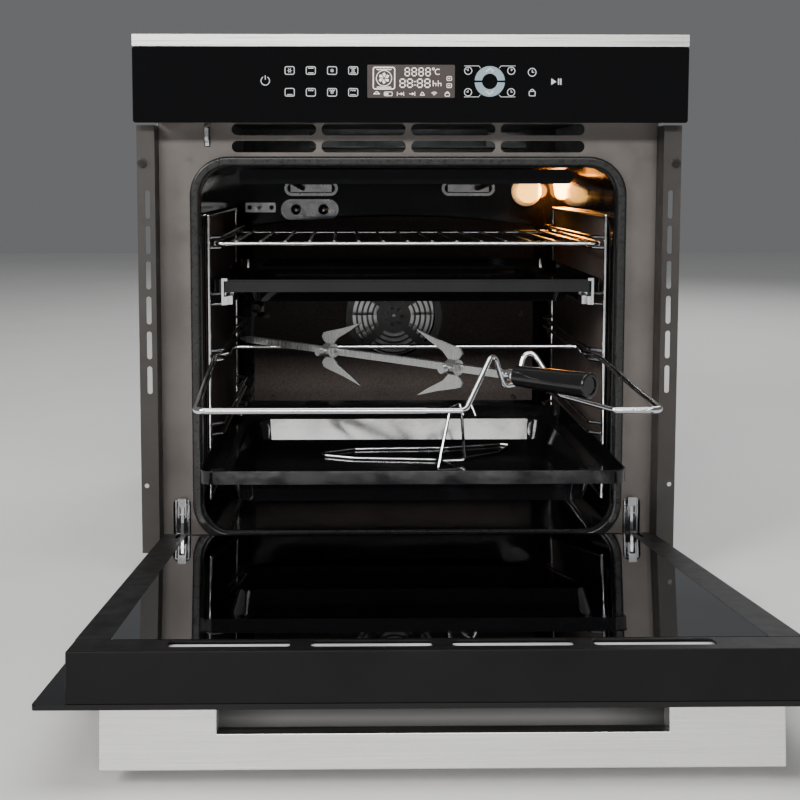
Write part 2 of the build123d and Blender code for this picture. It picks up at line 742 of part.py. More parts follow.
def control_housing():
    """Steel tray behind the glass that holds the electronics."""
    outer = block(-276, 276, PANEL_Y + GLASS_T + 0.2, SHEET_Y - 0.2, PANEL_BOTTOM + 2, FRONT_TOP - 3)
    inner = block(-274.8, 274.8, PANEL_Y + GLASS_T - 5, SHEET_Y - 1.4, PANEL_BOTTOM + 3.2, FRONT_TOP - 4.2)
    ledge = block(-274.9, 274.9, PANEL_Y + GLASS_T + 0.2, PANEL_Y + GLASS_T + 1.4, PANEL_BOTTOM + 3.1, PANEL_BOTTOM + 10)
    return outer - inner + ledge


def control_board():
    """Circuit board with the display block and the touch fields."""
    y = PANEL_Y + GLASS_T + 8
    board = front_slab(Pos(0, 548) * RectangleRounded(380, 66, 3), y, y + 1.6)
    display = block(-48, 48, y - 7, y, 527, 565)
    relays = [block(x, x + 22, y + 1.6, y + 16, 530, 560) for x in (-170, -130, -90, 60, 100, 140)]
    posts = [rod((x, y, z), (x, SHEET_Y - 1.4, z), 3) for x in (-180, 180) for z in (522, 574)]
    return fuse([board, display] + relays + posts)


def door_switch():
    body = block(SWITCH_X - 6, SWITCH_X + 6, SHEET_Y + 3, SHEET_Y + 30, SWITCH_Z - 16, SWITCH_Z + 12)
    return body - block(SWITCH_X - 2.4, SWITCH_X + 2.4, 0, SHEET_Y + 22, SWITCH_Z - 13, SWITCH_Z + 9)


def switch_plunger():
    blade = block(SWITCH_X - 2, SWITCH_X + 2, SHEET_Y - 3, SHEET_Y + 14, SWITCH_Z - 12, SWITCH_Z + 8)
    nose = block(SWITCH_X - 2, SWITCH_X + 2, SHEET_Y - 10.3, SHEET_Y - 3, SWITCH_Z - 6, SWITCH_Z + 8)
    return blade + nose


def terminal_block():
    body = block(-232, -168, 520, 540, 520, 566)
    for i in range(5):
        body = body - block(-228 + 12 * i, -220 + 12 * i, 515, 528, 530, 556)
    inlet = front_slab(Pos(-200, 548) * (Circle(11.6) - Circle(5)), 540, CASING_BACK + 6)
    return body + inlet


# ---------------------------------------------------------------- hinges and door


def hinge_bracket():
    """Receiver box behind the sheet, and the arm that carries the hinge pin."""
    x = HINGE_X
    box = block(x - 7, x + 9, SHEET_Y + 2, SHEET_Y + 60, 36, 76) - block(x - 5.6, x + 7.6, 0, SHEET_Y + 58, 37.4, 74.6)
    arm = make_face(Polyline(arm_points(), close=True)) + Pos(AXIS_Y, AXIS_Z) * Circle(ARM_END)
    plate = Pos(x - 1.5, 0, 0) * extrude(Plane.YZ * arm, 3)
    pin = rod((x - 7.9, AXIS_Y, AXIS_Z), (x + 9, AXIS_Y, AXIS_Z), PIN_R)
    tab = block(x - 5.8, x + 7.8, SHEET_Y + 8, SHEET_Y + 14, 60, 66)
    return fuse([box, plate, pin, tab])


def arm_points():
    """Side outline of the arm, in Y and Z."""
    y = SHEET_Y
    low = AXIS_Z - ARM_END
    high = AXIS_Z + ARM_END
    front = [(AXIS_Y, high), (AXIS_Y, low), (y + 6, low)]
    return front + [(y + 24, 40), (y + 24, 70), (y - 4, 70), (y - 7, 52), (y - 7, high)]


def hinge_brackets():
    right = hinge_bracket()
    return Compound([mirrored(right), right])


def hinge_catch(side):
    """Safety catch: a stirrup that flips over the arm for lifting the door off."""
    x = HINGE_X
    y = SHEET_Y - 4.5
    cheeks = [block(x + a, x + a + 1.4, y - 4, y + 4, 58, 72) for a in (-4.6, 3.2)]
    bridge = block(x - 4.6, x + 4.6, y - 4, y - 2.8, 70.6, 80)
    hook = block(x - 4.6, x + 4.6, y - 4, y + 4, 71, 72)
    pins = [rod((x - 4.6, y, 61), (x - 1.7, y, 61), 1.2), rod((x + 1.7, y, 61), (x + 4.6, y, 61), 1.2)]
    catch = fuse(cheeks + [bridge, hook] + pins)
    return catch if side > 0 else mirrored(catch)


def door_outer_glass():
    half = FRONT_W / 2
    return front_slab(rounded(-half, half, DOOR_BOTTOM, DOOR_TOP, 3), PANEL_Y, PANEL_Y + GLASS_T)


def door_inner_glass():
    half = BODY_HALF - RAIL_W - 0.3
    return front_slab(rounded(-half, half, DOOR_BOTTOM + 13.5, DOOR_TOP - 33.5, 2), DOOR_INNER - GLASS_T, DOOR_INNER)


def door_middle_glass():
    half = BODY_HALF - RAIL_W - 0.4
    return front_slab(rounded(-half, half, DOOR_BOTTOM + 13.5, DOOR_TOP - 36, 2), -6, -2)


def door_rail(side):
    """Channel down the door's side, slotted at its foot for the hinge arm."""
    x1 = BODY_HALF
    x0 = BODY_HALF - RAIL_W
    y0 = PANEL_Y + GLASS_T
    outer = block(x0, x1, y0, DOOR_INNER, DOOR_BOTTOM, DOOR_TOP - 33.2)
    inner = block(x0 + 1.6, x1 - 1.6, y0 + 1.6, DOOR_INNER - 1.6, DOOR_BOTTOM + 34, DOOR_TOP - 34.8)
    slot = block(HINGE_X - 2.2, HINGE_X + 2.2, y0 + 1.6, DOOR_INNER + 5, DOOR_BOTTOM - 5, DOOR_BOTTOM + 28)
    hole = rod((HINGE_X - 12, AXIS_Y, AXIS_Z), (HINGE_X + 12, AXIS_Y, AXIS_Z), PIN_R + 0.15)
    rail = outer - inner - slot - hole
    return rail if side > 0 else mirrored(rail)


def door_top_trim():
    """Slotted cap along the door's top edge."""
    y0 = PANEL_Y + GLASS_T
    outer = block(-BODY_HALF, BODY_HALF, y0, DOOR_INNER, DOOR_TOP - 33, DOOR_TOP)
    inner = block(-BODY_HALF + 2, BODY_HALF - 2, y0 + 2, DOOR_INNER - 1.6, DOOR_TOP - 40, DOOR_TOP - 2)
    trim = outer - inner
    for i in range(4):
        x = (i - 1.5) * DOOR_SLOT_PITCH
        slot = front_slab(Pos(x, DOOR_TOP - 20) * RectangleRounded(89, 16, 4), DOOR_INNER - 6, DOOR_INNER + 3)
        trim = trim - slot
    bar = block(-BODY_HALF + 1, BODY_HALF - 1, 4, 5.4, DOOR_TOP - 32, DOOR_TOP - 1)
    return trim + bar


def door_bottom_rail():
    y0 = PANEL_Y + GLASS_T
    half = BODY_HALF - RAIL_W - 0.2
    return block(-half, half, y0, DOOR_INNER - 0.4, DOOR_BOTTOM, DOOR_BOTTOM + 13.5)


def door_handle():
    """Flat bar on two end blocks."""
    front = PANEL_Y - HANDLE_STAND
    low = HANDLE_TOP - HANDLE_T
    bar = block(-HANDLE_HALF, HANDLE_HALF, front, front + HANDLE_BAR, low, HANDLE_TOP)
    pieces = [bar]
    for side in (-1, 1):
        x0 = min(side * HANDLE_HALF, side * (HANDLE_HALF - HANDLE_BLOCK))
        pieces.append(block(x0, x0 + HANDLE_BLOCK, front, PANEL_Y, low, HANDLE_TOP))
    handle = fuse(pieces)
    return chamfer(handle.edges().group_by(Axis.Y)[0], 0.8)


# ---------------------------------------------------------------- build


def main():
    os.makedirs("parts", exist_ok=True)
    save("base_plate", base_plate())
    save("casing_wrap", casing_wrap())
    save("rear_cover", rear_cover())
    save("front_frame", front_frame())
    for name, side in (("left", -1), ("right", 1)):
        save(f"flange_{name}", side_flange(side))
        save(f"liner_{name}", side_liner(side))
        save(f"rack_{name}", side_rack(side))
        save(f"hinge_catch_{name}", hinge_catch(side))
        save(f"door_rail_{name}", opened(door_rail(side)))
    save("panel_screws", panel_screws())
    save("cavity", cavity())
    save("door_gasket", door_gasket())
    save("insulation", insulation())
    save("fan_cover", fan_cover())
    save("fan_grille", fan_grille())
    save("ring_element", ring_element())
    save("grill_element", grill_element())
    save("grill_reflector", grill_reflector())
    save("bottom_element", bottom_element())
    save("element_flanges", element_flanges())
    save("temperature_sensor", temperature_sensor())
    save("lamp_holder", lamp_holder())
    save("lamp_bulb", lamp_bulb())
    save("runners_fixed", runners_fixed())
    save("runners_moving", runners_moving())
    save("wire_shelf", wire_shelf())
    save("baking_tray", tray(BAKING_FRONT, BAKING_FLANGE, BAKING_DEPTH))
    save("drip_tray", tray(DRIP_FRONT, DRIP_FLANGE, DRIP_DEPTH))
    save("tray_grip", tray_grip())
    save("rotisserie_cradle", rotisserie_cradle())
    save("spit", spit())
    save("spit_forks", spit_forks())
    save("spit_ferrule", spit_ferrule())
    save("spit_handle", spit_handle())
    save("drive_socket", drive_socket())
    save("rotisserie_motor", rotisserie_motor())
    save("convection_fan", convection_fan())
    save("fan_motor", fan_motor())
    save("blower_impeller", blower_impeller())
    save("blower_housing", blower_housing())
    save("air_duct", air_duct())
    save("control_glass", control_glass())
    save("control_trim", control_trim())
    save("control_housing", control_housing())
    save("control_board", control_board())
    save("door_switch", door_switch())
    save("switch_plunger", switch_plunger())
    save("terminal_block", terminal_block())
    save("hinge_brackets", hinge_brackets())
    save("door_outer_glass", opened(door_outer_glass()))
    save("door_middle_glass", opened(door_middle_glass()))
    save("door_inner_glass", opened(door_inner_glass()))
    save("door_top_trim", opened(door_top_trim()))
    save("door_bottom_rail", opened(door_bottom_rail()))
    save("door_handle", opened(door_handle()))


main()
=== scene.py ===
"""A built-in wall oven with its door open: finishes, printed panel, sheet details, lights and camera."""

import json
import math

import bmesh
import bpy
from mathutils import Matrix, Vector


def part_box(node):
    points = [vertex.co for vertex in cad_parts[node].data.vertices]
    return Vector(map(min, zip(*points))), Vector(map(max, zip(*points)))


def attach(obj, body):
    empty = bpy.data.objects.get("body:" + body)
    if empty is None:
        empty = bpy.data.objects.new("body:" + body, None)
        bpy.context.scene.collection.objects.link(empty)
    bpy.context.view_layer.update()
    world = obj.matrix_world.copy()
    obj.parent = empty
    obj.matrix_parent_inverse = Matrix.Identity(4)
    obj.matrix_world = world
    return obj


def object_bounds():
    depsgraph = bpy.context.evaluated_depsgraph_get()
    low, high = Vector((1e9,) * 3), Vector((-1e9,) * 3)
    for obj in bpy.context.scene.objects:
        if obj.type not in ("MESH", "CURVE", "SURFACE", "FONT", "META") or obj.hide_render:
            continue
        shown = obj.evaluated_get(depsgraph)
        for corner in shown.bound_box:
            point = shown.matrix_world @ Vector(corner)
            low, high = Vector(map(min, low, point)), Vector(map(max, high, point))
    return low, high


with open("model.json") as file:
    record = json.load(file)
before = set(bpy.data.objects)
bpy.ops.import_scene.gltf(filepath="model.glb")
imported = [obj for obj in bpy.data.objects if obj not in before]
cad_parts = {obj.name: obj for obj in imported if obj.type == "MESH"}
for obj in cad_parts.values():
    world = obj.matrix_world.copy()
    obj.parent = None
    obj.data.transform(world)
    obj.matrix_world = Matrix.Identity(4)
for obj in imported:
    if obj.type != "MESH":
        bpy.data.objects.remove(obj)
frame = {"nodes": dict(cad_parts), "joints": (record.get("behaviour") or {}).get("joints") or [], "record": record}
cad_low, cad_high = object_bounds()
nodes = frame["nodes"]

MM = 0.001

# Camera: its place in metres, its angles down and to the right in degrees, and its lens
EYE = (-0.07213, -1.34758, 0.44125)
PITCH = 4.699
YAW = 0.750
LENS = 55.18
SENSOR = 36
SHIFT = (0.05, -0.15)

# Lights: name, place, the point faced, width and height in metres, power in watts, colour
LIGHTS = (
    ("key", (-2.0, -1.9, 1.9), (0, 0, 0.3), (1.0, 1.2), 60, (1.0, 0.985, 0.96)),
    ("window", (-0.3, -6.5, 2.75), (0, 0, 0.25), (4.2, 0.65), 235, (1.0, 0.99, 0.97)),
    ("top", (0, -0.5, 2.6), (0, -0.1, 0.2), (2.6, 1.0), 34, (1, 1, 1)),
    ("back", (1.2, 2.6, 2.2), (0, 0.3, 0.3), (1.6, 1.4), 36, (1, 1, 1)),
)
SKY_COLOR = (0.9, 0.92, 0.95, 1)
SKY_STRENGTH = 0.16
LAMP_POWER = 0.42
LAMP_COLOR = (1.0, 0.3, 0.03)
LAMP_RADIUS = 0.012
FLOOR_HALF = 6

# Printed panel. All sizes and (x, z) places are in millimetres, on the front face of the control glass
FACE_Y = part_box("control_glass")[0].y
INK_T = 0.12
WINDOW_LIFT, MARK_LIFT, DISPLAY_LIFT, CHEVRON_LIFT = 0.02, 0.05, 0.14, 0.17
LINE = 0.75
THIN_LINE = 0.6
FUNCTION_COLUMNS = (-129.9, -107.3, -84.6, -62.1)
FUNCTION_ROWS = (556.8, 533.8)
ICON_W, ICON_H = 9.8, 8.1
# Left, right, bottom and top of the display window, and the centre and half width of the picture in it
WINDOW = (-47, 46.6, 528, 563)
FAN_ICON = (-29.2, 548.8, 11.4)
DIAL = (84, 545.5)
DIAL_OUT, DIAL_IN = 16.2, 8.3
DIAL_ICON_X = (60.8, 106.9)
DIAL_ICON_Z = (556.8, 534)
CLOCK_AT = (129.3, 555.2)
LOCK_AT = (129.6, 534)
START_AT = (154.9, 545.3)
POWER_AT = (-155.9, 545.9)

# Display: its figures as (x, z, width, height, stroke), and the centres of its small signs
TEMPERATURE_FIGURES = [(-6.6 + 7.4 * i, 551.4, 4.6, 8.2, 1.0) for i in range(4)]
CLOCK_FIGURES = [(x, 539.2, 5.2, 8.6, 1.15) for x in (-12, -4, 6.6, 14.6)]
COLON = ((3.9, 541.6), (3.9, 545.2))
DEGREE_AT = (23.6, 558.6)
CELSIUS_AT = (28.4, 555.6)
HOUR_X = (23.4, 28.8)
HOUR_Z = (540.4, 543.4, 546.4)
BOX_SIGNS = ((40.6, 541), (40.6, 548.5))
SIGNS_Z = 532.2
CLOUD_X, GAUGE_X, BELL_X, WAVES_X, PADLOCK_X = -37, -24.6, 11.9, 24.6, 38.6
# Each arrow's x, and the bars beside it
ARROWS = ((-11.5, (-3.4, 3.4)), (0.4, (3.4,)))


# ---------------------------------------------------------------- material tools


class Finish:
    """A Principled material whose colour, roughness and relief follow textures in the piece's space."""

    def __init__(self, name, color, metallic=0.0, roughness=0.5, **sockets):
        self.name = name
        self.material = bpy.data.materials.new(name)
        self.material.use_nodes = True
        self.material.diffuse_color = (*color, 1)
        self.tree = self.material.node_tree
        self.shader = self.tree.nodes["Principled BSDF"]
        self.color = color
        self.shader.inputs["Base Color"].default_value = (*color, 1)
        self.shader.inputs["Metallic"].default_value = metallic
        self.shader.inputs["Roughness"].default_value = roughness
        # Keyword names stand for the shader's own sockets, with underscores for spaces
        for socket, value in sockets.items():
            self.shader.inputs[socket.replace("_", " ")].default_value = value
        self.place = self.node("TexCoord").outputs["Object"]
        self.normal = None

    def node(self, kind, **settings):
        """A new shader node of that kind."""
        made = self.tree.nodes.new("ShaderNode" + kind)
        for setting, value in settings.items():
            setattr(made, setting, value)
        return made

    def link(self, source, target):
        self.tree.links.new(source, target)

    def scaled(self, x, y, z, turn=(0, 0, 0)):
        """The piece's coordinates, stretched or turned, as a vector output."""
        mapping = self.node("Mapping")
        mapping.inputs["Scale"].default_value = (x, y, z)
        mapping.inputs["Rotation"].default_value = [math.radians(a) for a in turn]
        self.link(self.place, mapping.inputs["Vector"])
        return mapping.outputs["Vector"]

    def noise(self, scale, detail=3, rough=0.55, vector=None, warp=0.0):
        """Cloudy noise, from 0 to 1. scale is in repeats per metre."""
        made = self.node("TexNoise")
        made.inputs["Scale"].default_value = scale
        made.inputs["Detail"].default_value = detail
        made.inputs["Roughness"].default_value = rough
        made.inputs["Distortion"].default_value = warp
        self.link(vector or self.place, made.inputs["Vector"])
        return made.outputs["Fac"]

    def cells(self, scale, feature="F1", output="Distance", vector=None):
        """A pattern of random cells."""
        made = self.node("TexVoronoi", feature=feature)
        made.inputs["Scale"].default_value = scale
        self.link(vector or self.place, made.inputs["Vector"])
        return made.outputs[output]

    def bands(self, scale, direction="X", vector=None):
        """Even soft stripes."""
        made = self.node("TexWave", bands_direction=direction)
        made.inputs["Scale"].default_value = scale
        self.link(vector or self.place, made.inputs["Vector"])
        return made.outputs["Fac"]

    def level(self, source, low, high, start=0.0, end=1.0):
        """source between start and end, spread from low to high."""
        made = self.node("MapRange")
        for name, value in (("From Min", start), ("From Max", end), ("To Min", low), ("To Max", high)):
            made.inputs[name].default_value = value
        self.link(source, made.inputs["Value"])
        return made.outputs["Result"]

    def tint(self, source, stops):
        """The base colour follows source through (position, colour) stops."""
        ramp = self.node("ValToRGB")
        marks = ramp.color_ramp.elements
        while len(marks) < len(stops):
            marks.new(0.5)
        for mark, (position, color) in zip(marks, stops):
            mark.position = position
            mark.color = (*color, 1)
        self.link(source, ramp.inputs["Fac"])
        self.link(ramp.outputs["Color"], self.shader.inputs["Base Color"])
        return self

    def shade(self, source, spread, start=0.3, end=0.7):
        """The base colour darkens and lightens with source, by spread either way."""
        dark = tuple(c * (1 - spread) for c in self.color)
        light = tuple(min(1, c * (1 + spread)) for c in self.color)
        return self.tint(source, [(start, dark), (end, light)])

    def gloss(self, source, low, high, start=0.3, end=0.7):
        """The roughness follows source, from low to high."""
        self.link(self.level(source, low, high, start, end), self.shader.inputs["Roughness"])
        return self

    def relief(self, source, height, strength=1.0):
        """Adds relief of that height, in millimetres, over the relief already there."""
        bump = self.node("Bump")
        bump.inputs["Strength"].default_value = strength
        bump.inputs["Distance"].default_value = height * MM
        self.link(source, bump.inputs["Height"])
        if self.normal:
            self.link(self.normal, bump.inputs["Normal"])
        self.normal = bump.outputs["Normal"]
        self.link(self.normal, self.shader.inputs["Normal"])
        return self


# ---------------------------------------------------------------- finishes


def galvanised(name):
    """Hot-dipped sheet: crystals of zinc, rolled smooth, with faint handling marks."""
    made = Finish(name, (0.5, 0.51, 0.52), metallic=0.85, roughness=0.4)
    crystals = made.cells(75, output="Color", vector=made.scaled(1, 1, 0.8))
    made.shade(crystals, 0.16, 0.1, 0.9)
    made.gloss(made.noise(30, 5), 0.3, 0.52)
    made.relief(crystals, 0.02, 0.35)
    made.relief(made.noise(6, 2), 1.2, 0.25)
    return made


def lacquer(name, color, metallic=0.1, roughness=0.45, peel=0.03, specular=0.5):
    """Stoved lacquer on sheet: a fine orange peel, slight clouding and softer patches."""
    made = Finish(name, color, metallic=metallic, roughness=roughness, Specular_IOR_Level=specular)
    made.shade(made.noise(14, 5), 0.16)
    made.gloss(made.noise(45, 4), roughness - 0.08, roughness + 0.1)
    made.relief(made.noise(1100, 2), peel)
    made.relief(made.noise(8, 2), 0.6, 0.2)
    return made


def enamel(name, color, speck, roughness=0.075, wave=0.25):
    """Vitreous enamel fired on steel: a glassy, slightly wavy coat with fine pale specks."""
    made = Finish(name, color, roughness=roughness, Specular_IOR_Level=0.42)
    dots = made.cells(850)
    made.tint(dots, [(0.0, speck), (0.13, speck), (0.2, color), (1.0, color)])
    made.gloss(made.noise(25, 5), roughness - 0.02, roughness + 0.06)
    made.relief(made.noise(38, 2), wave, 0.35)
    made.relief(made.noise(900, 2), 0.012, 0.6)
    return made


def porous_enamel(name):
    """Self-cleaning enamel: matt, gritty and mottled."""
    made = Finish(name, (0.105, 0.082, 0.074), roughness=0.72)
    made.shade(made.noise(520, 5, 0.7), 0.42, 0.32, 0.68)
    made.gloss(made.noise(18, 4), 0.6, 0.82)
    made.relief(made.noise(1300, 4, 0.7), 0.14)
    return made


def plated(name, color, low, high, scratch=0.012):
    """Bright plating on drawn wire or stampings: small soft ripples and hairline scratches."""
    made = Finish(name, color, metallic=1.0, roughness=low)
    made.shade(made.noise(40, 4), 0.08)
    made.gloss(made.noise(130, 4), low, high)
    made.relief(made.noise(70, 2), 0.05, 0.4)
    made.relief(made.noise(90, 3, vector=made.scaled(1, 14, 14)), scratch, 0.5)
    return made


def brushed(name):
    """Stainless sheet or bar brushed along X."""
    made = Finish(name, (0.94, 0.93, 0.915), metallic=1.0, roughness=0.3)
    grain = made.noise(1, 4, 0.6, vector=made.scaled(9, 1700, 1700))
    made.shade(grain, 0.16)
    made.gloss(grain, 0.23, 0.42)
    made.relief(grain, 0.018, 0.7)
    made.relief(made.noise(11, 3), 0.3, 0.12)
    return made


def ground_rod(name):
    """Square bar, ground across its length."""
    made = Finish(name, (0.53, 0.53, 0.53), metallic=1.0, roughness=0.28)
    marks = made.noise(1, 3, 0.6, vector=made.scaled(1500, 1500, 60, (0, 0, 41)))
    made.shade(marks, 0.14)
    made.gloss(marks, 0.2, 0.38)
    made.relief(marks, 0.012, 0.6)
    return made


def seal_rubber(name):
    """Heat-proof seal: a smooth skin with a faint tight braid under it."""
    made = Finish(name, (0.015, 0.0148, 0.015), roughness=0.3, Sheen_Weight=0.05, Sheen_Roughness=0.4)
    made.shade(made.noise(60, 4), 0.2)
    made.gloss(made.noise(160, 3), 0.22, 0.38)
    made.relief(made.bands(260, "DIAGONAL"), 0.05, 0.3)
    made.relief(made.bands(260, "X", vector=made.scaled(1, 1, 1, (0, 90, 45))), 0.05, 0.25)
    made.relief(made.noise(1400, 3), 0.03, 0.4)
    return made


def wool(name):
    """Loose mineral fibre, pressed into a blanket."""
    made = Finish(name, (0.62, 0.54, 0.33), roughness=0.95, Sheen_Weight=0.4)
    fibres = made.noise(90, 6, 0.75, vector=made.scaled(1, 5, 2, (10, 25, 40)), warp=1.6)
    made.shade(fibres, 0.3)
    made.relief(fibres, 2.2, 0.8)
    made.relief(made.noise(600, 4), 0.4, 0.8)
    return made


def dark_glass(name, color, metallic=0.0, smear=0.1, base=0.02):
    """Polished toughened glass with faint finger smears and a very slight roller wave."""
    made = Finish(name, color, metallic=metallic, roughness=base, IOR=1.5, Specular_IOR_Level=0.3)
    smears = made.noise(9, 6, 0.65, warp=0.8)
    made.gloss(smears, base, base + smear, 0.45, 0.8)
    made.shade(made.noise(5, 3), 0.12)
    made.relief(made.noise(7, 1), 0.12, 0.15)
    return made


def heater(name):
    """Heating rod: an oxidised sheath, blued and browned by heat."""
    made = Finish(name, (0.115, 0.105, 0.1), metallic=0.55, roughness=0.55)
    clouds = made.noise(38, 5, 0.65)
    stops = [(0.3, (0.05, 0.046, 0.048)), (0.5, (0.13, 0.11, 0.1)), (0.68, (0.2, 0.165, 0.14))]
    made.tint(clouds, stops)
    made.gloss(made.noise(200, 3), 0.42, 0.7)
    made.relief(made.noise(900, 4), 0.04)
    return made


def moulded(name, color, roughness, grain):
    """Moulded plastic: fine spark-eroded grain over a slight flow pattern."""
    made = Finish(name, color, roughness=roughness, Coat_Weight=0.15)
    made.shade(made.noise(22, 4), 0.12)
    made.gloss(made.noise(80, 4), roughness - 0.05, roughness + 0.12)
    made.relief(made.cells(1500), grain, 0.5)
    made.relief(made.noise(20, 2), 0.25, 0.15)
    return made


def circuit_board(name):
    """Solder resist over a grid of copper tracks."""
    made = Finish(name, (0.02, 0.1, 0.04), roughness=0.3, Coat_Weight=0.4)
    tracks = made.cells(150, feature="DISTANCE_TO_EDGE", vector=made.scaled(1, 1, 1.7))
    stops = [(0.0, (0.06, 0.22, 0.07)), (0.08, (0.05, 0.2, 0.06)), (0.11, (0.018, 0.09, 0.035))]
    made.tint(tracks, stops)
    made.gloss(made.noise(60, 3), 0.22, 0.42)
    made.relief(tracks, 0.06, 0.6)
    return made


def lamp_glow(name):
    """Lit lamp glass: a cloudy orange glow in glass with moulded ribs."""
    made = Finish(name, (1.0, 0.72, 0.4), roughness=0.2, Emission_Strength=4.5, Coat_Weight=0.6)
    ribs = made.bands(120, "DIAGONAL")
    made.shade(ribs, 0.2)
    glow = made.node("ValToRGB")
    glow.color_ramp.elements[0].color = (1.0, 0.34, 0.04, 1)
    glow.color_ramp.elements[1].color = (1.0, 0.6, 0.13, 1)
    made.link(made.noise(35, 3), glow.inputs["Fac"])
    made.link(glow.outputs["Color"], made.shader.inputs["Emission Color"])
    made.gloss(made.noise(90, 3), 0.12, 0.3)
    made.relief(ribs, 0.3, 0.5)
    return made


def pressed_alloy(name):
    """Pressed aluminium alloy with a fine grain along Z."""
    made = Finish(name, (0.58, 0.58, 0.59), metallic=1.0, roughness=0.35)
    grain = made.noise(1, 4, vector=made.scaled(700, 700, 30))
    made.shade(made.noise(30, 4), 0.1)
    made.gloss(grain, 0.26, 0.5)
    made.relief(grain, 0.02, 0.6)
    return made


def ink(name, color, glow=0.0):
    """Screen-printed or lit marks: a slightly uneven film."""
    made = Finish(name, color, roughness=0.4, Emission_Strength=glow, Emission_Color=(*color, 1))
    made.shade(made.noise(500, 3), 0.1)
    made.gloss(made.noise(300, 3), 0.3, 0.5)
    made.relief(made.noise(1500, 2), 0.01)
    return made


def floor_paint(name):
    """Pale studio floor with a slight roller texture."""
    made = Finish(name, (0.78, 0.775, 0.765), roughness=0.62)
    made.shade(made.noise(1.5, 5), 0.025)
    made.gloss(made.noise(7, 5), 0.55, 0.7)
    made.relief(made.noise(260, 4), 0.12, 0.4)
    return made


# One finish for each material slot of the record, named after it
FINISHES = (
    galvanised("casing_zinc"),
    lacquer("frame_paint", (0.165, 0.148, 0.137), metallic=0.5, roughness=0.38),
    lacquer("flange_paint", (0.055, 0.05, 0.047), metallic=0.4, roughness=0.42),
    enamel("black_enamel", (0.0045, 0.0045, 0.0052), (0.05, 0.055, 0.07)),
    porous_enamel("taupe_enamel"),
    enamel("dark_enamel", (0.026, 0.021, 0.019), (0.06, 0.055, 0.05), 0.34, 0.1),
    plated("chrome_wire", (0.78, 0.78, 0.79), 0.08, 0.2),
    plated("zinc_plate", (0.58, 0.585, 0.6), 0.24, 0.42, 0.02),
    brushed("stainless"),
    seal_rubber("gasket_rubber"),
    wool("mineral_wool"),
    dark_glass("black_glass", (0.0035, 0.0035, 0.004)),
    dark_glass("tinted_glass", (0.27, 0.27, 0.28), metallic=1.0, smear=0.05, base=0.012),
    lacquer("rail_paint", (0.008, 0.0075, 0.0077), roughness=0.42, peel=0.05, specular=0.16),
    heater("heater_rod"),
    ground_rod("spit_steel"),
    moulded("black_plastic", (0.0075, 0.0075, 0.008), 0.13, 0.006),
    moulded("grey_plastic", (0.24, 0.24, 0.245), 0.5, 0.05),
    circuit_board("board_green"),
    lamp_glow("lamp_glass"),
    pressed_alloy("fan_alloy"),
    lacquer("black_oxide", (0.035, 0.033, 0.032), metallic=0.8, roughness=0.38, peel=0.02),
)
SLOT_FINISHES = {finish.name: finish for finish in FINISHES}


def paint_nodes():
    """Each CAD node takes the finish of its slot in the record."""
    slots = {part["node"]: part["material_slot"] for part in frame["record"]["subparts"]}
    for name, item in nodes.items():
        finish = SLOT_FINISHES[slots[name]].material
        item.data.materials.clear()
        item.data.materials.append(finish)


# ---------------------------------------------------------------- shared shapes


def add_piece(name, mesh, finish, body):
    """Turns a bmesh into a piece with a finish, which rides on a body."""
    bmesh.ops.recalc_face_normals(mesh, faces=mesh.faces)
    data = bpy.data.meshes.new(name)
    mesh.to_mesh(data)
    mesh.free()
    data.materials.append(finish.material)
    made = bpy.data.objects.new(name, data)
    bpy.context.scene.collection.objects.link(made)
    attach(made, body)
    return made


def thicken(piece, thickness):
    """Gives a flat piece that thickness in millimetres, half to each side."""
    sheet = piece.modifiers.new("sheet", "SOLIDIFY")
    sheet.thickness = thickness * MM
    sheet.offset = 0


def join_rows(mesh, rows, closed):
    """Faces between rows of as many vertices each. Closed rows are rings."""
    for low, high in zip(rows, rows[1:]):
        count = len(low)
        for i in range(count if closed else count - 1):
            j = (i + 1) % count
            mesh.faces.new((low[i], low[j], high[j], high[i]))


def polar(centre, radius, turn):
    """The point at that radius from the centre. turn is in radians."""
    return centre[0] + radius * math.cos(turn), centre[1] + radius * math.sin(turn)


def arc(centre, radius, start=0, end=360, steps=24):
    """Points round a circle, from start to end in degrees."""
    full = end - start >= 360
    turns = [math.radians(start + (end - start) * i / steps) for i in range(steps + (not full))]
    return [polar(centre, radius, turn) for turn in turns]


def rounded_box(centre, width, height, radius):
    """Corner points of a box with rounded corners, anticlockwise."""
    points = []
    for quarter, (sx, sz) in enumerate(((1, 1), (-1, 1), (-1, -1), (1, -1))):
        middle = (centre[0] + sx * (width / 2 - radius), centre[1] + sz * (height / 2 - radius))
        points += arc(middle, radius, 90 * quarter, 90 * quarter + 90, 4)
    return points


# ---------------------------------------------------------------- printed panel


class Print:
    """Flat marks on the panel, gathered in one mesh. Points are (x, z) in millimetres."""

    def __init__(self, lift):
        self.mesh = bmesh.new()
        self.y = FACE_Y - lift * MM

    def corner(self, point):
        return self.mesh.verts.new((point[0] * MM, self.y, point[1] * MM))

    def fill(self, points):
        """A filled shape with those corners."""
        self.mesh.faces.new([self.corner(p) for p in points])

    def band(self, points, width=LINE, closed=False):
        """A band of that width along the points, mitred at its corners."""
        line = [Vector(p) for p in points]
        count = len(line)
        edges = []
        for i, point in enumerate(line):
            after = line[(i + 1) % count] - point if closed or i < count - 1 else point - line[i - 1]
            before = point - line[i - 1] if closed or i else after
            along = (before.normalized() + after.normalized()).normalized()
            across = Vector((-along.y, along.x))
            stretch = max(0.5, along.dot(after.normalized()))
            side = across * (width / 2 / stretch)
            edges.append((self.corner(point + side), self.corner(point - side)))
        for i in range(count if closed else count - 1):
            a, b = edges[i], edges[(i + 1) % count]
            self.mesh.faces.new((a[0], b[0], b[1], a[1]))


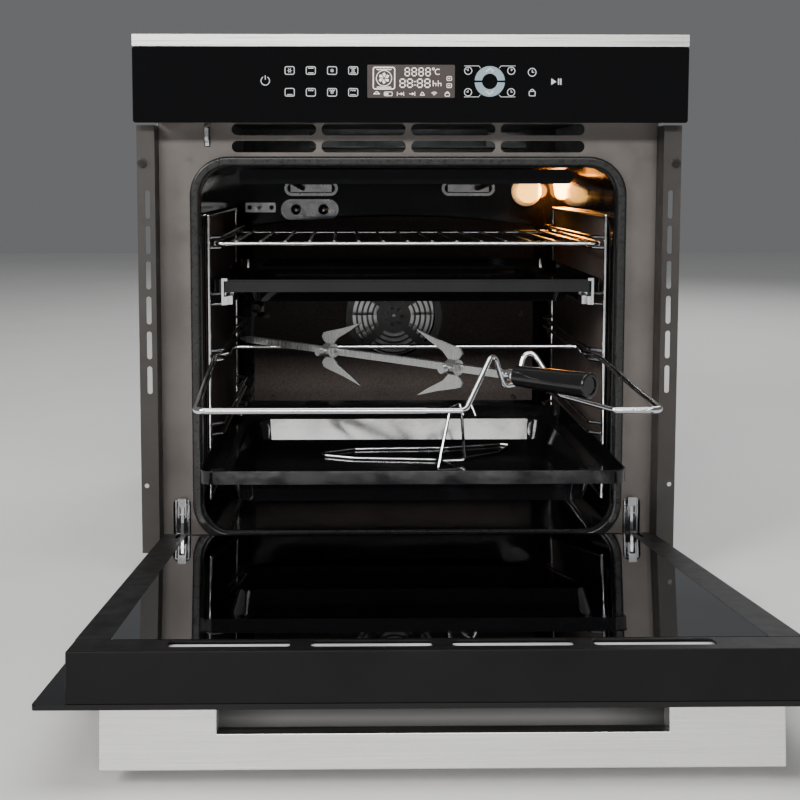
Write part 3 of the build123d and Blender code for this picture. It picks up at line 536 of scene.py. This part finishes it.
def heat_bar(marks, at, place):
    """A level bar over (place 1) or under (place -1) the middle of a function icon."""
    z = at[1] + place * 2.5
    marks.band([(at[0] - 2.9, z), (at[0] + 2.9, z)], 0.8)


def heat_zigzag(marks, at, place):
    """A grill's zigzag over or under the middle of a function icon."""
    z = at[1] + place * 2.1
    marks.band([(at[0] - 3 + 1.2 * i, z + (0.7 if i % 2 else -0.7)) for i in range(6)], THIN_LINE)


def fan_symbol(marks, at, size, blades=6):
    """Swept blades, each a filled wedge, round an open middle."""
    # Each corner of a blade: its share of the size, and its turn in radians from the blade's start
    corners = ((0.16, 0), (0.72, 0.1), (1, 0.42), (0.86, 0.86))
    for blade in range(blades):
        start = 2 * math.pi * blade / blades
        marks.fill([polar(at, size * share, start + turn) for share, turn in corners])


def lamp_symbol(marks, at, size):
    """A small circle with six rays."""
    marks.band(arc(at, size * 0.5, steps=14), THIN_LINE, closed=True)
    for ray in range(6):
        turn = math.radians(60 * ray)
        marks.band([polar(at, size * share, turn) for share in (0.75, 1.1)], 0.5)


# The inside of each function icon: bars at top or bottom, a grill zigzag, a fan or a lamp
FUNCTION_MARKS = (
    (("lamp", 0),),
    (("bar", 1), ("bar", -1)),
    (("fan", 0),),
    (("bar", 1), ("bar", -1), ("fan", 0)),
    (("bar", -1),),
    (("zigzag", 1),),
    (("zigzag", 1), ("fan", 0)),
    (("zigzag", 1), ("bar", -1)),
)


def function_icons(marks):
    """Two rows of four outlined icons."""
    for i, inside in enumerate(FUNCTION_MARKS):
        at = (FUNCTION_COLUMNS[i % 4], FUNCTION_ROWS[i // 4])
        marks.band(rounded_box(at, ICON_W, ICON_H, 1.6), LINE, closed=True)
        for kind, place in inside:
            if kind == "bar":
                heat_bar(marks, at, place)
            elif kind == "zigzag":
                heat_zigzag(marks, at, place)
            elif kind == "fan":
                fan_symbol(marks, at, 1.9)
            else:
                lamp_symbol(marks, at, 2.3)


def side_icons(marks):
    """Power, the four marks round the dial, timer, lock and start."""
    x, z = POWER_AT
    marks.band(arc(POWER_AT, 4.6, 120, 420, 20), LINE)
    marks.band([(x, z + 1.2), (x, z + 5.6)], LINE)
    for i, x in enumerate(DIAL_ICON_X):
        for j, z in enumerate(DIAL_ICON_Z):
            marks.band(arc((x, z), 3.9, steps=20), LINE, closed=True)
            hand = (x + (1.9 if i else -1.9), z + (0.4 if j else 1.9))
            marks.band([(x, z + 2.4), (x, z), hand], THIN_LINE)
    x, z = CLOCK_AT
    marks.band(arc(CLOCK_AT, 4.2, steps=20), LINE, closed=True)
    marks.band([(x, z + 2.7), (x, z), (x + 2.2, z)], THIN_LINE)
    x, z = LOCK_AT
    marks.band(rounded_box((x, z - 1.4), 6.4, 4.8, 0.7), LINE, closed=True)
    marks.band(arc((x, z + 1), 2.1, 0, 180, 10), LINE)
    x, z = START_AT
    marks.fill([(x - 5, z - 3.4), (x - 5, z + 3.4), (x + 0.6, z)])
    for bar in (2.2, 4.6):
        left, right = x + bar, x + bar + 1.3
        marks.fill([(left, z - 3.3), (right, z - 3.3), (right, z + 3.3), (left, z + 3.3)])


def figure(marks, x, z, width, height, stroke):
    """A seven-stroke figure eight with small gaps at its joints."""
    gap = stroke * 0.65
    for level in (z + height, z + height / 2, z):
        marks.band([(x + gap, level), (x + width - gap, level)], stroke)
    for side in (x, x + width):
        for foot in (z, z + height / 2):
            marks.band([(side, foot + gap), (side, foot + height / 2 - gap)], stroke)


def status_signs(marks):
    """The lowest row of the display: cloud, gauge, two arrows, bell, waves and a padlock."""
    z = SIGNS_Z
    marks.band(arc((CLOUD_X, z), 2.3, 0, 180, 10), 0.7)
    marks.band([(CLOUD_X - 3.4, z), (CLOUD_X + 3.4, z)], 0.8)
    marks.band(rounded_box((GAUGE_X, z), 8.6, 4, 1.2), THIN_LINE, closed=True)
    marks.fill(rounded_box((GAUGE_X - 1.8, z), 3.6, 1.8, 0.4))
    for x, bars in ARROWS:
        marks.band([(x - 2.6, z), (x + 2.2, z)], THIN_LINE)
        marks.fill([(x + 0.4, z - 1.5), (x + 0.4, z + 1.5), (x + 2.8, z)])
        for bar in bars:
            marks.band([(x + bar, z - 2.2), (x + bar, z + 2.2)], THIN_LINE)
    bell = ((-2.1, -1.4), (-0.7, 1.6), (0.7, 1.6), (2.1, -1.4))
    marks.band([(BELL_X + dx, z + dz) for dx, dz in bell], 0.7, closed=True)
    for radius in (1.2, 2.6, 4):
        marks.band(arc((WAVES_X, z - 2), radius, 45, 135, 8), THIN_LINE)
    marks.band(rounded_box((PADLOCK_X, z - 0.8), 4.6, 3.2, 0.6), THIN_LINE, closed=True)
    marks.band(arc((PADLOCK_X, z + 0.8), 1.5, 0, 180, 8), THIN_LINE)


def display_figures(marks):
    """Temperature over time of day, with its unit marks and the two rows of small signs."""
    for place in TEMPERATURE_FIGURES + CLOCK_FIGURES:
        figure(marks, *place)
    for dot in COLON:
        marks.fill(rounded_box(dot, 1.2, 1.2, 0.3))
    marks.band(arc(DEGREE_AT, 1.1, steps=10), THIN_LINE, closed=True)
    marks.band(arc(CELSIUS_AT, 2.9, 50, 310, 10), 0.8)
    low, middle, high = HOUR_Z
    for x in HOUR_X:
        marks.band([(x, low), (x, high)], 0.7)
        marks.band([(x, middle), (x + 3, middle), (x + 3, low)], 0.7)
    for place in BOX_SIGNS:
        marks.band(rounded_box(place, 5, 4.2, 1), THIN_LINE, closed=True)
        marks.fill(rounded_box(place, 1.8, 1.2, 0.3))
    status_signs(marks)


def fan_picture(marks):
    """The lit picture of the chosen function: a fan in a ring, between a grill and a bottom bar."""
    x, z, half = FAN_ICON
    marks.band(rounded_box((x, z), half * 2, half * 2, 2), 1.1, closed=True)
    fan_symbol(marks, (x, z), 6)
    marks.band(arc((x, z), 8.2, steps=28), 0.7, closed=True)
    marks.band([(x - 8 + 2 * i, z + 9.6 - 0.9 * (i % 2)) for i in range(9)], 0.8)
    marks.band([(x - 7.6, z - 9.5), (x + 7.6, z - 9.5)], 0.9)


def dial_ring(marks):
    """The touch ring: two half rings with a narrow split between them."""
    steps = 32
    for start in (4, 184):
        outer = arc(DIAL, DIAL_OUT, start, start + 172, steps)
        inner = arc(DIAL, DIAL_IN, start + 3, start + 169, steps)
        for i in range(steps):
            marks.fill([outer[i], outer[i + 1], inner[i + 1], inner[i]])


def dial_lines(marks):
    """Thin rules over and under the four marks round the dial, bent down to the ring."""
    for side in (-1, 1):
        for way in (-1, 1):
            z = DIAL[1] + way * 16.4
            line = ((27.5, z), (12, z), (10, z - way * 2.4))
            marks.band([(DIAL[0] + side * out, height) for out, height in line], 0.5)


def dial_chevrons(marks):
    """An arrowhead in each half of the touch ring, pointing away from its middle."""
    for way in (1, -1):
        x, z = DIAL[0], DIAL[1] + way * 12
        marks.band([(x - 4, z - way * 1.6), (x, z + way * 1.8), (x + 4, z - way * 1.6)], 1.2)


def display_window(marks):
    """The tinted window behind the display's figures."""
    x0, x1, z0, z1 = WINDOW
    marks.fill(rounded_box(((x0 + x1) / 2, (z0 + z1) / 2), x1 - x0, z1 - z0, 1.2))


def build_panel():
    """Prints each group of marks on the control glass, as a piece of its own."""
    tint = ink("display_tint", (0.032, 0.02, 0.017), 0.25)
    pale = ink("print_white", (0.62, 0.64, 0.66), 0.25)
    lit = ink("display_light", (0.86, 0.8, 0.74), 0.9)
    ring = ink("dial_grey", (0.27, 0.36, 0.42), 0.12)
    prints = (
        ("display_window", WINDOW_LIFT, tint, (display_window,)),
        ("panel_symbols", MARK_LIFT, pale, (function_icons, side_icons, dial_lines)),
        ("display_figures", DISPLAY_LIFT, lit, (display_figures,)),
        ("display_picture", DISPLAY_LIFT, lit, (fan_picture,)),
        ("dial_ring", MARK_LIFT, ring, (dial_ring,)),
        ("dial_chevrons", CHEVRON_LIFT, pale, (dial_chevrons,)),
    )
    for name, lift, finish, drawings in prints:
        marks = Print(lift)
        for draw in drawings:
            draw(marks)
        piece = add_piece(name, marks.mesh, finish, "oven")
        thicken(piece, INK_T)


# ---------------------------------------------------------------- sheet details

# Rear cover and sides, in millimetres
BACK_SCREW_X = (-262, -131, 0, 131, 262)
BACK_SCREW_INSET = 11
SIDE_SCREW_Y = 44
SIDE_SCREW_Z = (70, 205, 340, 475)
SCREW_R = 5.2
# Rings of a screw head: share of its radius, height in radii, depth of its six lobes
SCREW_RINGS = (
    (1.0, 0.0, 0),
    (1.0, 0.35, 0),
    (0.86, 0.52, 0),
    (0.6, 0.6, 0),
    (0.48, 0.6, 0.12),
    (0.42, 0.25, 0.12),
)
RIB_W = 26
RIB_H = 3
# Rings of a pressed rib: how far in from its outline, and share of its height
RIB_RINGS = ((0, 0), (2.2, 0.75), (4.4, 1.0))
BACK_RIBS_Z = (330, 470)
BACK_RIB_LENGTH = 330
SIDE_RIBS_Y = (170, 290, 410)
SIDE_RIB_LENGTH = 420
# Cross-section (y, z) of the folded baffle under the slots of the closed door's top trim
BAFFLE = ((8.6, 466.5), (14.1, 469), (14.1, 485.5), (8.6, 489))
BAFFLE_HALF = 214
BAFFLE_T = 0.6


def axes_on(normal):
    """Two directions along a sheet, and the one out of it."""
    out = Vector(normal)
    up = Vector((0, 0, 1))
    return up.cross(out).normalized(), up, out


def screw_head(mesh, place, normal):
    """Pan head with a six-lobed recess. place is in metres, on the sheet."""
    across, up, out = axes_on(normal)
    steps = 24
    rings = []
    for share, height, lobe in SCREW_RINGS:
        ring = []
        for i in range(steps):
            turn = 2 * math.pi * i / steps
            r = SCREW_R * MM * share * (1 + lobe * math.cos(6 * turn))
            point = across * (r * math.cos(turn)) + up * (r * math.sin(turn))
            ring.append(mesh.verts.new(Vector(place) + point + out * (height * SCREW_R * MM)))
        rings.append(ring)
    join_rows(mesh, rings, closed=True)
    mesh.faces.new(rings[-1])


def pressed_rib(mesh, centre, normal, length, upright):
    """A long pressed rib with rounded ends and sloping sides. centre is in metres, on the sheet."""
    across, up, out = axes_on(normal)
    width, height = (RIB_W, length) if upright else (length, RIB_W)
    rings = []
    for inset, lift in RIB_RINGS:
        outline = rounded_box((0, 0), width - 2 * inset, height - 2 * inset, RIB_W / 2 - inset - 0.2)
        places = [across * x * MM + up * z * MM + out * (lift * RIB_H * MM) for x, z in outline]
        rings.append([mesh.verts.new(Vector(centre) + place) for place in places])
    join_rows(mesh, rings, closed=True)
    mesh.faces.new(rings[-1])


def build_sheet_details():
    """Screws round the rear cover and along the sides, and ribs pressed in both."""
    back_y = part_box("rear_cover")[1].y
    low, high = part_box("casing_wrap")
    screws = bmesh.new()
    for x in BACK_SCREW_X:
        for z in (low.z + BACK_SCREW_INSET * MM, high.z - BACK_SCREW_INSET * MM):
            screw_head(screws, (x * MM, back_y, z), (0, 1, 0))
    ribs = bmesh.new()
    for z in BACK_RIBS_Z:
        pressed_rib(ribs, (0, back_y, z * MM), (0, 1, 0), BACK_RIB_LENGTH, upright=False)
    middle_z = (low.z + high.z) / 2
    for side, x in ((-1, low.x), (1, high.x)):
        for z in SIDE_SCREW_Z:
            screw_head(screws, (x, SIDE_SCREW_Y * MM, z * MM), (side, 0, 0))
        for y in SIDE_RIBS_Y:
            pressed_rib(ribs, (x, y * MM, middle_z), (side, 0, 0), SIDE_RIB_LENGTH, upright=True)
    add_piece("casing_screws", screws, SLOT_FINISHES["zinc_plate"], "oven")
    add_piece("casing_ribs", ribs, SLOT_FINISHES["casing_zinc"], "oven")


def door_opening():
    """Turns a point of the closed door to where it is at rest."""
    hinge = next(joint for joint in frame["joints"] if joint["name"] == "door_hinge")
    pivot = Matrix.Translation(hinge["pos_m"])
    turn = Matrix.Rotation(math.radians(max(hinge["range_deg"])), 4, "X")
    return pivot @ turn @ pivot.inverted()


def build_slot_baffle():
    """Pale folded strip that shows through the slots of the door's top trim."""
    mesh = bmesh.new()
    place = door_opening()
    steps = 24
    xs = [BAFFLE_HALF * (2 * i / steps - 1) for i in range(steps + 1)]
    rows = []
    for y, z in BAFFLE:
        rows.append([mesh.verts.new(place @ Vector((x * MM, y * MM, z * MM))) for x in xs])
    join_rows(mesh, rows, closed=False)
    pale = lacquer("baffle_paint", (0.82, 0.82, 0.83), roughness=0.35)
    strip = add_piece("trim_baffle", mesh, pale, "door")
    thicken(strip, BAFFLE_T)


# ---------------------------------------------------------------- edges

# Rounding of the long visible edges, in millimetres. Edges under EDGE_ANGLE degrees stay as they are
EDGE_ROUNDING = {
    "control_glass": 0.8,
    "control_trim": 0.7,
    "door_outer_glass": 0.8,
    "door_middle_glass": 0.6,
    "door_inner_glass": 0.8,
    "door_rail_left": 0.7,
    "door_rail_right": 0.7,
    "door_top_trim": 1.6,
    "door_bottom_rail": 0.6,
    "door_handle": 0.6,
    "hinge_brackets": 0.3,
    "terminal_block": 0.4,
    "door_switch": 0.4,
    "grill_reflector": 0.3,
    "baking_tray": 0.4,
    "drip_tray": 0.4,
}
WELD_DISTANCE = 0.005
EDGE_ANGLE = 50


def soften_edges():
    """Rounds sharp edges, so that they catch the light as real ones do."""
    for name, width in EDGE_ROUNDING.items():
        item = nodes[name]
        weld = item.modifiers.new("weld", "WELD")
        weld.merge_threshold = WELD_DISTANCE * MM
        bevel = item.modifiers.new("edge", "BEVEL")
        bevel.width = width * MM
        bevel.segments = 2
        bevel.limit_method = "ANGLE"
        bevel.angle_limit = math.radians(EDGE_ANGLE)
        bevel.use_clamp_overlap = True


# ---------------------------------------------------------------- stage


def make_floor():
    """A pale square floor under the oven."""
    half, z = FLOOR_HALF, cad_low.z
    corners = [(-half, -half, z), (half, -half, z), (half, half, z), (-half, half, z)]
    data = bpy.data.meshes.new("floor")
    data.from_pydata(corners, [], [(0, 1, 2, 3)])
    data.materials.append(floor_paint("floor_paint").material)
    floor = bpy.data.objects.new("floor", data)
    bpy.context.scene.collection.objects.link(floor)


def area_light(name, place, target, size, power, color):
    """A rectangular light at place that faces target."""
    data = bpy.data.lights.new(name, "AREA")
    data.shape = "RECTANGLE"
    data.size, data.size_y = size
    data.energy = power
    data.color = color
    light = bpy.data.objects.new(name, data)
    light.location = place
    light.rotation_euler = (Vector(target) - Vector(place)).to_track_quat("-Z", "Y").to_euler()
    bpy.context.scene.collection.objects.link(light)


def make_lights():
    """The studio's lights and its even grey sky."""
    for light in LIGHTS:
        area_light(*light)
    world = bpy.data.worlds.new("studio")
    world.use_nodes = True
    sky = world.node_tree.nodes["Background"]
    sky.inputs["Color"].default_value = SKY_COLOR
    sky.inputs["Strength"].default_value = SKY_STRENGTH
    bpy.context.scene.world = world


def make_lamp_light():
    """The oven's own lamp, just beside its glass, so that the near wall glows most."""
    low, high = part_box("lamp_bulb")
    data = bpy.data.lights.new("oven_lamp", "POINT")
    data.energy = LAMP_POWER
    data.color = LAMP_COLOR
    data.shadow_soft_size = LAMP_RADIUS
    light = bpy.data.objects.new("oven_lamp", data)
    light.location = (high.x + 6 * MM, low.y + 20 * MM, (low.z + high.z) / 2)
    bpy.context.scene.collection.objects.link(light)


def make_camera():
    """The camera, at the eye's place and tilted to the view."""
    data = bpy.data.cameras.new("camera")
    data.lens = LENS
    data.sensor_width = SENSOR
    data.shift_x, data.shift_y = SHIFT
    camera = bpy.data.objects.new("camera", data)
    camera.location = EYE
    camera.rotation_euler = (math.radians(90 - PITCH), 0, math.radians(-YAW))
    bpy.context.scene.collection.objects.link(camera)
    bpy.context.scene.camera = camera


make_camera()
make_lights()
make_lamp_light()
make_floor()
paint_nodes()
soften_edges()
build_panel()
build_sheet_details()
build_slot_baffle()
